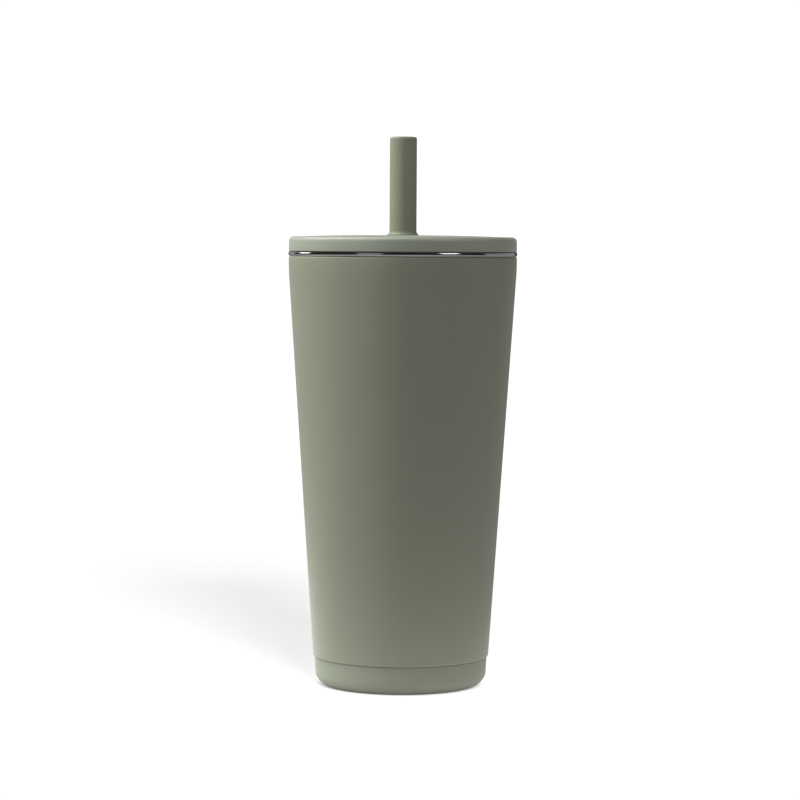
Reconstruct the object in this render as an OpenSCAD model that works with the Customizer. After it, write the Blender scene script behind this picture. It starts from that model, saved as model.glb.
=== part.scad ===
// Insulated straw tumbler: a double-wall steel cup in a silicone boot, with a press-in lid,
// a rigid straw and a soft straw tip. Millimetres, +Z up, z = 0 under the boot's foot.
// Every piece is turned about the Z axis, apart from the vent and the getter with its clip.

/* [Cup] */
// Outer diameter of the cup at its neck
neck_d = 89.9; // [74:0.1:112]
// Outer diameter of the cup's lower edge, just above the boot
foot_d = 69.4; // [56:0.1:84]
// Height of the top of the coated wall above the table
wall_h = 169.4; // [110:0.2:220]
// Height over which the taper runs out into the upright neck
neck_blend_h = 10.4; // [2:0.2:30]
// Thickness of the coated outer wall and outer base
wall_t = 0.6; // [0.4:0.1:1]
// Rounding of the coated wall's lower edge
low_edge_r = 0.9; // [0.2:0.1:1.2]
// Rounding of the coated wall's shoulder, under the lip
shoulder_r = 0.7; // [0.2:0.1:1.2]

/* [Liner] */
// Width of the rim, from the neck's outside to the mouth
rim_w = 3.95; // [3:0.05:6]
// Height of the rolled lip
lip_h = 1.9; // [1.6:0.1:3]
// How far the rolled lip stands proud of the neck
lip_proud = 0.1; // [0:0.05:1]
// Rounding of the lip's outer edges
lip_edge_r = 0.75; // [0.3:0.05:0.8]
// Thickness of the liner
liner_t = 0.5; // [0.4:0.05:0.9]
// Width of the vacuum space at the liner's lower seam
vacuum_w = 2.3; // [1.2:0.1:5]
// Height of the vacuum space between the two bottoms
vacuum_h = 8.2; // [7.4:0.1:12]
// Corner radius of the liner's bottom
liner_corner_r = 6; // [3:0.5:12]
// Height of the straight edge above a bottom's rounded corner, up to its welded seam
seam_edge_h = 1.2; // [0.6:0.1:2]
// Rounding of the mouth's inner edge
mouth_round = 0.7; // [0.2:0.1:0.9]
// Length of the straight mouth below the lid's plug
mouth_spare_h = 3; // [1:0.5:8]
// Thickness of the copper foil
foil_t = 0.1; // [0.05:0.05:0.3]

/* [Outer base] */
// Corner radius of the outer base
base_corner_r = 4; // [2:0.5:6]
// Width of the flat ring that the cup stands on
base_land_w = 5; // [3:0.5:8]
// Depth of the recess in the middle of the outer base
base_recess_h = 1.2; // [0.8:0.1:2]
// Radius of the dimple around the evacuation hole
dimple_r = 5; // [3:0.5:6]
// Depth of the dimple
dimple_h = 1.6; // [0.8:0.1:2]
// Diameter of the evacuation hole
evacuation_d = 2; // [1:0.1:4]
// Thickness of the cover disc
cover_disc_t = 0.6; // [0.4:0.1:0.7]
// Diameter of the getter pill
getter_d = 8; // [5:0.5:8]
// Thickness of the getter pill
getter_h = 2.4; // [1:0.1:3]
// Thickness of the getter's clip
clip_t = 0.4; // [0.2:0.05:0.6]
// Width of the getter's clip
clip_w = 4; // [2:0.5:6]
// Length of each welded foot of the clip
clip_foot_w = 2.5; // [1:0.5:3]

/* [Boot] */
// Height of the boot's upper edge above the table
boot_h = 11.3; // [9:0.1:14]
// Wall of the boot at its upper edge
boot_wall_t = 1.6; // [1:0.1:3]
// How far the boot sits in from the cup's lower edge
boot_inset = 0.55; // [0:0.05:1.2]
// Draft of the boot's side, from its upper edge to its corner
boot_draft = 0.35; // [0:0.05:1]
// Width of the boot's rounded corner
boot_corner_w = 6.1; // [3:0.1:8]
// Height of the boot's rounded corner
boot_corner_h = 5.2; // [3:0.1:7]
// Thickness of the boot under the cup
boot_floor_t = 1.8; // [1.2:0.1:3]
// Width of the ring that the boot stands on
foot_ring_w = 5; // [3:0.5:8]
// Rounding of the boot's upper edge
boot_edge_r = 0.4; // [0.1:0.1:0.6]
// Depth of the hollow inside that ring
foot_hollow_h = 0.6; // [0.2:0.1:0.9]

/* [Lid] */
// How far the lid's side lies in from the neck
lid_inset = 0.05; // [0:0.05:1]
// Height of the lid's side above the rim
lid_h = 5.7; // [4:0.1:10]
// Rounding of the lid's upper edge
lid_edge_r = 1.2; // [0.4:0.1:2]
// Rise of the lid's top from its edge to its middle
lid_dome_h = 0.7; // [0.2:0.1:3]
// Thickness of the lid's top
lid_top_t = 2; // [1.6:0.1:3]
// Thickness of the lid's side
lid_side_t = 1.6; // [1.2:0.1:2.4]
// Depth of the plug below the rim
plug_depth = 12.5; // [10:0.1:20]
// Wall of the plug behind its seal groove
plug_wall_t = 1.4; // [1:0.1:2]
// Thickness of the plug's floor
plug_floor_t = 1.8; // [1.2:0.1:3]
// Depth of the seal groove
groove_depth = 1.6; // [1:0.1:2.5]
// Height of the seal groove
groove_h = 4.2; // [3:0.1:6]
// Height of the plug's wall between its floor and the groove
groove_lift = 2; // [1:0.1:3]
// Thickness of the seal behind its lips
seal_band_t = 0.9; // [0.5:0.05:1.2]
// Height of the plug's flange
flange_h = 1.4; // [1:0.1:2]
// Width of the plug's ring that is welded to the lid's top
weld_w = 1.2; // [0.8:0.1:2]
// Chamfer on the plug's lower edge
plug_nose = 1.2; // [0.4:0.1:1.6]
// Distance of the vent from the lid's middle
vent_y = 24; // [16:0.5:28]
// Diameter of the vent hole in the lid's top
vent_d = 2.4; // [1.2:0.1:3]
// Diameter of the hole that holds the vent valve
valve_seat_d = 5; // [4:0.1:6]
// How far the valve's head reaches past its hole
valve_head_w = 0.7; // [0.4:0.1:1]
// Height of the valve's head above the plug's floor
valve_head_h = 1.6; // [1:0.1:2]
// Wall of the boss around the valve
valve_boss_t = 1.4; // [1:0.1:2]

/* [Straw] */
// Outer diameter of the straw
tube_d = 8; // [6:0.1:12]
// Wall of the straw
tube_t = 0.9; // [0.6:0.05:1.5]
// Height of the straw's lower end above the liner's floor
tube_foot_gap = 2.4; // [1:0.1:10]
// Wall of the soft tip around the straw
tip_wall_t = 1.3; // [0.8:0.05:2.5]
// Height of the soft tip above the lid
tip_h = 38.6; // [25:0.2:80]
// Length of the mouthpiece above the straw's upper end
mouth_h = 12; // [4:0.5:20]
// Rounding of the tip's upper edge
tip_edge_r = 0.95; // [0.2:0.05:1.2]
// Height of the flared collar at the tip's lower end
collar_h = 1.9; // [1:0.1:4]
// How far the collar reaches past the bushing
collar_cover = 0.45; // [0.2:0.05:2]
// Wall of the bushing's two flanges around the straw
bushing_wall_t = 1.85; // [1.4:0.05:3]
// Wall of the bushing's waist around the straw
bushing_waist_t = 0.9; // [0.7:0.05:1.2]
// Thickness of the bushing's two flanges
bushing_flange_h = 0.9; // [0.6:0.05:1.2]

/* [Clearances] */
// Radial running fit of the straw in its bushing and in its tip
straw_fit = 0.05; // [0.02:0.01:0.1]
// Radial gap of the boot around the cup
boot_gap = 0.1; // [0.05:0.01:0.3]
// How much tighter the boot's inner corner is than the cup's
boot_corner_relief = 0.4; // [0.3:0.05:0.8]
// Gap between the boot's upper edge and the cup
boot_top_gap = 0.15; // [0.05:0.05:0.4]
// Radial gap between the plug and the mouth
plug_gap = 0.5; // [0.3:0.05:1]
// Radial gap between the seal's lips, drawn relaxed, and the mouth
seal_gap = 0.2; // [0.1:0.05:0.4]
// Radial gap between the straw and the plug's boss
boss_gap = 0.6; // [0.3:0.1:1.5]
// Gap around pieces that are fixed in one another
assembly_gap = 0.1; // [0.05:0.01:0.2]

/* [Hidden] */
$fn = 120;
arc_steps = 6;
curve_steps = 8;
through = 1; // how far a cutter runs past the piece that it cuts

// Colours
sage = [0.55, 0.565, 0.495];
sage_soft = [0.53, 0.55, 0.47];
steel = [0.78, 0.78, 0.76];
copper = [0.80, 0.50, 0.34];
alloy = [0.42, 0.42, 0.44];
glass_frit = [0.30, 0.32, 0.34];
sage_pale = [0.60, 0.62, 0.54];

// Cup: the outer wall's radii and levels
neck_r = neck_d / 2;
foot_r = foot_d / 2;
spigot_r = foot_r - boot_inset - boot_wall_t - boot_gap;
blend_z = wall_h - neck_blend_h;
taper = (neck_r - foot_r) / (wall_h - neck_blend_h / 2 - boot_h);
base_z = boot_floor_t;
seam_z = base_z + base_corner_r + seam_edge_h;
recess_r = spigot_r - base_corner_r - base_land_w;
recess_z = base_z + base_recess_h;
base_in_z = recess_z + wall_t;
getter_y = (dimple_r + wall_t + recess_r) / 2; // halfway from the dimple to the recess's edge

// Liner: radii and levels
bore_r = neck_r - rim_w;
lip_r = neck_r + lip_proud;
rim_z = wall_h + lip_h;
neck_low_z = rim_z - plug_depth - mouth_spare_h;
liner_z = base_in_z + vacuum_h;
liner_seam_z = liner_z + liner_corner_r + seam_edge_h;
liner_low_r = wall_r(liner_seam_z) - wall_t - vacuum_w - liner_t;
floor_z = liner_z + liner_t;

// Boot: radii
boot_r = foot_r - boot_inset;
boot_low_r = boot_r - boot_draft;
foot_ring_r = boot_low_r - boot_corner_w;
boot_in_r = spigot_r + boot_gap;
boot_in_corner_r = base_corner_r - boot_corner_relief;

// Lid: radii and levels
lid_r = neck_r - lid_inset;
lid_edge_z = rim_z + lid_h;
lid_under_z = lid_edge_z - lid_top_t;
lid_mid_z = lid_edge_z + lid_dome_h;
plug_r = bore_r - plug_gap;
groove_r = plug_r - groove_depth;
plug_in_r = groove_r - plug_wall_t;
plug_z = rim_z - plug_depth;
plug_floor_z = plug_z + plug_floor_t;
groove_z = plug_floor_z + groove_lift;
seal_r = bore_r - seal_gap;
valve_r = valve_seat_d / 2;
valve_boss_r = valve_r + valve_head_w;
valve_head_z = plug_floor_z + valve_head_h;

// Straw: radii and levels
tube_r = tube_d / 2;
tube_in_r = tube_r - tube_t;
tube_foot_z = floor_z + tube_foot_gap;
tip_r = tube_r + straw_fit + tip_wall_t;
tip_top_z = lid_mid_z + tip_h;
tube_top_z = tip_top_z - mouth_h;
bushing_r = tube_r + bushing_wall_t;
waist_r = tube_r + bushing_waist_t;
bushing_low_z = lid_under_z - bushing_flange_h;
collar_r = bushing_r + collar_cover;
land_r = collar_r + collar_cover;

// Radius of the cup's outside at height z: a straight taper that runs out in a parabola.
function wall_r(z) =
    z < blend_z
        ? foot_r + taper * (z - boot_h)
        : neck_r - taper * pow(wall_h - z, 2) / (2 * neck_blend_h);

// Height of the lid's top at radius r: flat under the collar, then a parabola down to the edge.
function lid_z(r) = lid_mid_z - lid_dome_h * pow((r - land_r) / (lid_r - lid_edge_r - land_r), 2);

// Points of an elliptic arc about [cx, cy] with half-axes rx and ry, from angle a0 to a1.
function arc(cx, cy, rx, ry, a0, a1) = [
    for (i = [0:arc_steps])
        let (a = a0 + (a1 - a0) * i / arc_steps)
            [cx + rx * cos(a), cy + ry * sin(a)]
];

// Points of the cup's side from low to high, set in by the wall's thickness where asked.
function side(inset, z_low, z_high) = concat(
    [[wall_r(z_low) - inset, z_low]],
    [
        for (i = [0:curve_steps])
            let (z = blend_z + (z_high - blend_z) * i / curve_steps)
                [wall_r(z) - inset, z]
    ]
);

// The same points from the last to the first.
function reversed(points) = [for (i = [len(points) - 1:-1:0]) points[i]];

// A ring turned about Z from one rectangle of its section.
module ring(r_in, r_out, z_low, z_high) {
    translate([0, 0, z_low])
        difference() {
            cylinder(r = r_out, h = z_high - z_low);
            translate([0, 0, -through])
                cylinder(r = r_in, h = z_high - z_low + 2 * through);
        }
}

// Coated steel wall, necked in at its foot for the boot and turned in at its shoulder.
module outer_wall() {
    flange_r = bore_r + liner_t + assembly_gap;
    color(sage)
        rotate_extrude()
            polygon(concat(
                [[spigot_r, seam_z], [spigot_r, boot_h]],
                arc(foot_r - low_edge_r, boot_h + low_edge_r, low_edge_r, low_edge_r, -90, 0),
                side(0, boot_h + 2 * low_edge_r, wall_h - shoulder_r),
                arc(neck_r - shoulder_r, wall_h - shoulder_r, shoulder_r, shoulder_r, 0, 90),
                [[flange_r, wall_h], [flange_r, wall_h - wall_t]],
                reversed(side(wall_t, boot_h + 2 * low_edge_r, wall_h - wall_t)),
                [[foot_r - wall_t, boot_h + wall_t], [spigot_r - wall_t, boot_h + wall_t]],
                [[spigot_r - wall_t, seam_z]]
            ));
}

// Stamped steel bottom of the outer shell, with a recess, a dimple and the evacuation hole.
module outer_base() {
    corner_x = spigot_r - base_corner_r;
    corner_y = base_z + base_corner_r;
    inner_r = base_corner_r - wall_t;
    color(steel)
        difference() {
            rotate_extrude()
                polygon(concat(
                    [[0, recess_z + dimple_h], [dimple_r - wall_t, recess_z + dimple_h]],
                    [[dimple_r, recess_z], [recess_r, recess_z], [recess_r + wall_t, base_z]],
                    arc(corner_x, corner_y, base_corner_r, base_corner_r, -90, 0),
                    [[spigot_r, seam_z], [spigot_r - wall_t, seam_z]],
                    arc(corner_x, corner_y, inner_r, inner_r, 0, -90),
                    [[recess_r + 2 * wall_t, base_z + wall_t], [recess_r + wall_t, base_in_z]],
                    [[dimple_r + wall_t, base_in_z], [dimple_r, base_in_z + dimple_h]],
                    [[0, base_in_z + dimple_h]]
                ));
            translate([0, 0, recess_z])
                cylinder(d = evacuation_d, h = dimple_h + wall_t + through);
        }
}

// Polished steel liner: a straight mouth for the seal, a taper below it and a rolled lip.
module liner_wall() {
    color(steel)
        rotate_extrude()
            polygon(concat(
                [[liner_low_r, liner_seam_z], [liner_low_r + liner_t, liner_seam_z]],
                [[bore_r + liner_t, neck_low_z], [bore_r + liner_t, wall_h]],
                arc(lip_r - lip_edge_r, wall_h + lip_edge_r, lip_edge_r, lip_edge_r, -90, 0),
                arc(lip_r - lip_edge_r, rim_z - lip_edge_r, lip_edge_r, lip_edge_r, 0, 90),
                arc(bore_r + mouth_round, rim_z - mouth_round, mouth_round, mouth_round, 90, 180),
                [[bore_r, neck_low_z]]
            ));
}

// Drawn steel bottom of the liner.
module liner_base() {
    dish_r = liner_low_r + liner_t;
    inner_r = liner_corner_r - liner_t;
    corner_y = liner_z + liner_corner_r;
    color(steel)
        rotate_extrude()
            polygon(concat(
                [[0, liner_z]],
                arc(dish_r - liner_corner_r, corner_y, liner_corner_r, liner_corner_r, -90, 0),
                [[dish_r, liner_seam_z], [liner_low_r, liner_seam_z]],
                arc(liner_low_r - inner_r, corner_y, inner_r, inner_r, 0, -90),
                [[0, floor_z]]
            ));
}

// Copper foil around the liner's taper.
module foil_wrap() {
    inner = liner_t + assembly_gap;
    outer = inner + foil_t;
    color(copper)
        rotate_extrude()
            polygon([
                [liner_low_r + inner, liner_seam_z],
                [liner_low_r + outer, liner_seam_z],
                [bore_r + outer, neck_low_z],
                [bore_r + inner, neck_low_z]
            ]);
}

// Copper foil disc under the liner's bottom.
module foil_disc() {
    color(copper)
        translate([0, 0, liner_z - foil_t])
            cylinder(r = liner_low_r - liner_corner_r, h = foil_t);
}

// Gas-absorbing pill in the vacuum space.
module getter() {
    color(alloy)
        translate([0, getter_y, base_in_z])
            cylinder(d = getter_d, h = getter_h);
}

// Spot-welded strip that holds the pill down.
module getter_clip() {
    half = getter_d / 2 + assembly_gap;
    color(steel)
        translate([0, getter_y + clip_w / 2, base_in_z])
            rotate([90, 0, 0])
                linear_extrude(clip_w)
                    polygon([
                        [-half - clip_foot_w, 0], [-half, 0], [-half, getter_h],
                        [half, getter_h], [half, 0], [half + clip_foot_w, 0],
                        [half + clip_foot_w, clip_t], [half + clip_t, clip_t],
                        [half + clip_t, getter_h + clip_t], [-half - clip_t, getter_h + clip_t],
                        [-half - clip_t, clip_t], [-half - clip_foot_w, clip_t]
                    ]);
}

// Glass solder that closes the evacuation hole from below.
module seal_bead() {
    bead_r = dimple_r - wall_t - assembly_gap;
    bead_h = dimple_h - 2 * assembly_gap;
    color(glass_frit)
        translate([0, 0, recess_z + dimple_h - bead_h])
            cylinder(r = bead_r, h = bead_h);
}

// Steel disc in the recess, over the solder.
module base_cover() {
    color(steel)
        translate([0, 0, recess_z - cover_disc_t])
            cylinder(r = recess_r - assembly_gap, h = cover_disc_t);
}

// Silicone boot, stretched over the cup's foot.
module base_boot() {
    top_z = boot_h - boot_top_gap;
    in_x = boot_in_r - boot_in_corner_r;
    in_y = base_z + boot_in_corner_r;
    color(sage_soft)
        rotate_extrude()
            polygon(concat(
                [[0, foot_hollow_h], [foot_ring_r - foot_ring_w, foot_hollow_h]],
                [[foot_ring_r - foot_ring_w + foot_hollow_h, 0]],
                arc(foot_ring_r, boot_corner_h, boot_corner_w, boot_corner_h, -90, 0),
                arc(boot_r - boot_edge_r, top_z - boot_edge_r, boot_edge_r, boot_edge_r, 0, 90),
                [[boot_in_r, top_z]],
                arc(in_x, in_y, boot_in_corner_r, boot_in_corner_r, 0, -90),
                [[0, base_z]]
            ));
}

// Visible top of the lid: a flush disc with a slight dome, the straw's hole and the vent.
module lid_cover() {
    in_r = lid_r - lid_side_t;
    seat_r = bushing_r + assembly_gap;
    hole_r = waist_r + assembly_gap;
    edge_in = lid_r - lid_edge_r;
    color(sage)
        difference() {
            rotate_extrude()
                polygon(concat(
                    [[lid_r, rim_z]],
                    arc(edge_in, lid_edge_z - lid_edge_r, lid_edge_r, lid_edge_r, 0, 90),
                    [
                        for (i = [1:curve_steps])
                            let (r = edge_in + (land_r - edge_in) * i / curve_steps)
                                [r, lid_z(r)]
                    ],
                    [[seat_r, lid_mid_z], [seat_r, lid_mid_z - bushing_flange_h]],
                    [[hole_r, lid_mid_z - bushing_flange_h], [hole_r, lid_under_z]],
                    [[in_r, lid_under_z], [in_r, rim_z]]
                ));
            translate([0, vent_y, lid_under_z - through])
                cylinder(d = vent_d, h = lid_top_t + lid_dome_h + 2 * through);
        }
}

// Plug under the lid's top: closed floor, seal groove, straw boss and vent boss.
module lid_plug() {
    flange_r = lid_r - lid_side_t - assembly_gap;
    flange_z = rim_z + assembly_gap;
    weld_r = plug_in_r + weld_w;
    boss_in_r = tube_r + boss_gap;
    boss_r = bushing_r + assembly_gap;
    color(sage_pale)
        difference() {
            union() {
                rotate_extrude()
                    polygon([
                        [0, plug_z], [plug_r - plug_nose, plug_z], [plug_r, plug_z + plug_nose],
                        [plug_r, groove_z], [groove_r, groove_z],
                        [groove_r, groove_z + groove_h], [plug_r, groove_z + groove_h],
                        [plug_r, flange_z], [flange_r, flange_z],
                        [flange_r, flange_z + flange_h], [weld_r, flange_z + flange_h],
                        [weld_r, lid_under_z], [plug_in_r, lid_under_z],
                        [plug_in_r, plug_floor_z], [0, plug_floor_z]
                    ]);
                translate([0, 0, plug_z])
                    cylinder(r = boss_r, h = bushing_low_z - plug_z);
                translate([0, vent_y, plug_z])
                    cylinder(r = valve_boss_r + valve_boss_t, h = lid_under_z - plug_z);
            }
            translate([0, 0, plug_z - through])
                cylinder(r = boss_in_r, h = plug_depth + lid_h);
            translate([0, vent_y, plug_z - through])
                cylinder(r = valve_r, h = plug_floor_t + 2 * through);
            translate([0, vent_y, plug_floor_z])
                cylinder(r = valve_boss_r, h = plug_depth + lid_h);
        }
}

// Silicone ring with two wiping lips, in the plug's groove.
module lid_seal() {
    in_r = groove_r + assembly_gap;
    band_r = in_r + seal_band_t;
    low_z = groove_z + assembly_gap;
    high_z = groove_z + groove_h - assembly_gap;
    lip_step = (high_z - low_z) / 2;
    lip_edge = lip_step / 5;
    color(sage_soft)
        rotate_extrude()
            polygon([
                [in_r, low_z], [band_r, low_z],
                for (z = [low_z, low_z + lip_step])
                    each [
                        [seal_r, z + lip_step / 2],
                        [seal_r, z + lip_step / 2 + lip_edge],
                        [band_r, z + lip_step]
                    ],
                [in_r, high_z]
            ]);
}

// Silicone grommet that grips the lid's hole and wipes the straw.
module straw_bushing() {
    bore = tube_r + straw_fit;
    color(sage_soft)
        rotate_extrude()
            polygon([
                [bore, bushing_low_z], [bushing_r, bushing_low_z], [bushing_r, lid_under_z],
                [waist_r, lid_under_z], [waist_r, lid_mid_z - bushing_flange_h],
                [bushing_r, lid_mid_z - bushing_flange_h], [bushing_r, lid_mid_z], [bore, lid_mid_z]
            ]);
}

// Silicone duckbill that lets air in as the cup is drunk from.
module vent_valve() {
    stem_r = valve_r - assembly_gap;
    head_r = valve_boss_r - assembly_gap;
    disc_r = valve_r + 1.5;
    disc_h = 1;
    bill_h = 4.5;
    bill_t = 1.2;
    wall = 0.8;
    air_r = stem_r - wall;
    slit = 0.2;
    color(sage_soft)
        translate([0, vent_y, 0])
            difference() {
                union() {
                    translate([0, 0, plug_floor_z])
                        cylinder(r1 = head_r, r2 = stem_r, h = valve_head_z - plug_floor_z);
                    translate([0, 0, plug_z - disc_h])
                        cylinder(r = stem_r, h = plug_floor_t + disc_h);
                    translate([0, 0, plug_z - disc_h])
                        cylinder(r = disc_r, h = disc_h);
                    translate([0, 0, plug_z - disc_h - bill_h])
                        intersection() {
                            cylinder(r = stem_r, h = bill_h);
                            rotate([90, 0, 90])
                                translate([0, 0, -stem_r])
                                    linear_extrude(2 * stem_r)
                                        polygon([
                                            [-bill_t / 2, 0], [bill_t / 2, 0],
                                            [stem_r, bill_h], [-stem_r, bill_h]
                                        ]);
                        }
                }
                translate([0, 0, plug_z - disc_h])
                    cylinder(r = air_r, h = valve_head_z - plug_z + disc_h + through);
                translate([-air_r, -slit / 2, plug_z - disc_h - bill_h - through])
                    cube([2 * air_r, slit, bill_h + 2 * through]);
            }
}

// Rigid straw, from just above the liner's floor up into the soft tip.
module straw_tube() {
    color(sage_pale)
        ring(tube_in_r, tube_r, tube_foot_z, tube_top_z);
}

// Soft drinking tip: a sleeve over the straw with a flared collar that rests on the lid.
module straw_tip() {
    sleeve_r = tube_r + straw_fit;
    rim = 0.25;
    flare = collar_r - tip_r;
    inner_round = 0.5;
    color(sage_soft)
        rotate_extrude()
            polygon(concat(
                [[sleeve_r, lid_mid_z], [collar_r, lid_mid_z]],
                arc(collar_r, lid_mid_z + collar_h, flare, collar_h - rim, -90, -180),
                arc(tip_r - tip_edge_r, tip_top_z - tip_edge_r, tip_edge_r, tip_edge_r, 0, 90),
                arc(tube_in_r + inner_round, tip_top_z - inner_round, inner_round, inner_round, 90, 180),
                [[tube_in_r, tube_top_z], [sleeve_r, tube_top_z]]
            ));
}

outer_wall();
outer_base();
liner_wall();
liner_base();
foil_wrap();
foil_disc();
getter();
getter_clip();
seal_bead();
base_cover();
base_boot();
lid_cover();
lid_plug();
lid_seal();
straw_bushing();
vent_valve();
straw_tube();
straw_tip();
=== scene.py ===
# %% [markdown]
# # A double-wall straw tumbler
# The cup is almost all turned shapes: a tapered steel wall, a bright rim, a flush lid, a soft
# straw tip and a silicone boot. The frame holds the engineered model, and this file gives each
# piece that can be seen its final surface and finish. Lengths are written in millimetres and
# become metres in the meshes.

# %% Load the frame
import math

import bmesh
import bpy
import numpy as np
from mathutils import Matrix, Vector


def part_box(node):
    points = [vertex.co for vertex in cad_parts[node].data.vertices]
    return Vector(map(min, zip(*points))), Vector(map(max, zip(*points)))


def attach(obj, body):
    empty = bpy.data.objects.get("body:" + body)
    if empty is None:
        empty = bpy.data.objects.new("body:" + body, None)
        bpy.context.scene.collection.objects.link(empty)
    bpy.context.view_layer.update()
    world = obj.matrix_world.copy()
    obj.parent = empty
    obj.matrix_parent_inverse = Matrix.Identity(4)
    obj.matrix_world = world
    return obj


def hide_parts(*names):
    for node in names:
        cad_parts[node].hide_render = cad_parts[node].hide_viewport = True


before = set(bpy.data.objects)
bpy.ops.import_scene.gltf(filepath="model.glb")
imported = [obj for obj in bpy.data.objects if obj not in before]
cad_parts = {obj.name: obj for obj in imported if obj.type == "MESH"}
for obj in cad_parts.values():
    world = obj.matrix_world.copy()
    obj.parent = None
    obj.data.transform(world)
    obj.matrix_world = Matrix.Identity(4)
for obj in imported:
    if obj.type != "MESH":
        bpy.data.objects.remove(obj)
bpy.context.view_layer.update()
MM = 0.001
print("nodes:", sorted(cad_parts))


# %% [markdown]
# ## Sizes
# Every level and radius that two pieces share is read from the frame's nodes, so a piece can't
# drift away from the model. Sizes that no box can give, such as a wall, the foot under the taper
# or the play between two pieces that fit in each other, are named here and in the cells that need
# them first.

# %% Read the shared sizes
def reach(node):
    """Largest radius about Z, lowest z and highest z of a CAD node, in millimetres."""
    low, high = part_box(node)
    return max(high.x, high.y) / MM, low.z / MM, high.z / MM


lip_r, liner_seam_z, rim_z = reach("liner_wall")
neck_r, seam_z, wall_h = reach("outer_wall")
boot_r, _, _ = reach("base_boot")
spigot_r, base_z, _ = reach("outer_base")
lid_r, _, lid_mid_z = reach("lid_cover")
liner_low_r, liner_z, _ = reach("liner_base")
cover_r, cover_low_z, recess_z = reach("base_cover")
bushing_r, bushing_low_z, _ = reach("straw_bushing")
tube_r, tube_foot_z, tube_top_z = reach("straw_tube")
collar_r, _, tip_top_z = reach("straw_tip")
seal_r, seal_low_z, seal_high_z = reach("lid_seal")
flange_r, plug_z, lid_under_z = reach("lid_plug")
valve_low, valve_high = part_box("vent_valve")
vent_y = (valve_low.y + valve_high.y) / 2 / MM

WALL_T = 0.6
LINER_T = 0.5
FOOT_R = 34.7
BOOT_H = 11.3
NECK_BLEND_H = 10.4
GAP = 0.1
print(f"rim {2 * lip_r:.1f} mm across at {rim_z:.1f} mm, overall height {tip_top_z:.1f} mm")

# %% [markdown]
# ## Camera
# A product shot is taken with a long lens from about a metre away, a little above the rim, so the
# lid is seen almost edge-on while the foot still shows its curve. The hand-held tilt is a fraction
# of a degree, turned about the lens's own axis, which an Euler angle can't give alone: matrices
# are multiplied instead.

# %% Set the camera
LENS = 126.1
SENSOR_W = 36.0
FARTHEST = 20.0
CAMERA_AT = (-0.8, -1105.6, 175.2)
LOOK_DOWN = 3.237
TILT = 0.0055
camera_data = bpy.data.cameras.new("camera")
camera_data.lens = LENS
camera_data.sensor_width = SENSOR_W
camera_data.clip_end = FARTHEST
camera = bpy.data.objects.new("camera", camera_data)
bpy.context.scene.collection.objects.link(camera)
camera_place = Matrix.Translation(Vector(CAMERA_AT) * MM)
look_down = Matrix.Rotation(math.radians(90 - LOOK_DOWN), 4, "X")
camera_tilt = Matrix.Rotation(TILT, 4, "Z")
camera.matrix_world = camera_place @ look_down @ camera_tilt
bpy.context.scene.camera = camera
print("camera at", tuple(round(c, 3) for c in camera.matrix_world.translation))


# %% [markdown]
# ## Turned surfaces
# A lathe shape is an outline carried round an axis. The outline is written the way a drawing gives
# it, as corners with a fillet radius each, and a helper puts the fillets in. The surface is then a
# grid of outline points by angle, worked out as whole arrays. Screw modifiers can do this too, but
# a grid gives control over the closed seam, the poles and which way the faces point.

# %% Outline with fillets
FILLET_STEPS = 7
LARGEST_SHARE = 0.499


def fillet(before, corner, after, radius):
    """Points of a circular arc that is tangent to both edges at a corner.

    The tangent points lie radius / tan(half the corner's angle) along each edge, and the arc's
    centre lies on the bisector at radius / sin(half the angle). A fillet that would take up more
    than its share of an edge, just under half, is shrunk to fit.
    """
    to_before, to_after = before - corner, after - corner
    u = to_before / np.linalg.norm(to_before)
    v = to_after / np.linalg.norm(to_after)
    half = math.acos(max(-1.0, min(1.0, float(u @ v)))) / 2
    room = LARGEST_SHARE * min(np.linalg.norm(to_before), np.linalg.norm(to_after))
    radius = min(radius, room * math.tan(half))
    bisector = (u + v) / np.linalg.norm(u + v)
    centre = corner + bisector * radius / math.sin(half)
    start = corner + u * radius / math.tan(half) - centre
    end = corner + v * radius / math.tan(half) - centre
    a0 = math.atan2(start[1], start[0])
    turn = (math.atan2(end[1], end[0]) - a0 + math.pi) % (2 * math.pi) - math.pi
    angles = a0 + turn * np.linspace(0, 1, FILLET_STEPS)
    return centre + radius * np.column_stack([np.cos(angles), np.sin(angles)])


def outline(corners):
    """An array of (r, z) points from corners given as (r, z) or (r, z, fillet radius)."""
    flat = [np.array(c[:2], float) for c in corners]
    points = []
    for i, c in enumerate(corners):
        rounded = len(c) > 2 and c[2] > 0
        if rounded:
            points.extend(fillet(flat[i - 1], flat[i], flat[(i + 1) % len(flat)], c[2]))
        else:
            points.append(flat[i])
    return np.array(points)


sample = outline([(0, 0), (1, 0, 0.2), (1, 1, 0.2), (0, 1)])
print("a square with two of its corners filleted has", len(sample), "points")


# %% [markdown]
# The grid works for any stack of ellipses, because a duckbill valve starts round and ends flat. A
# turned piece is the case where both half-axes are the same. The signed volume says whether the
# faces point outwards, so the winding never has to be guessed.

# %% Grid of rings
SHARP_ANGLE = math.radians(40)
MERGE_WITHIN = 1e-8
TURNS = 224
FINE_TURNS = 288


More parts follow.
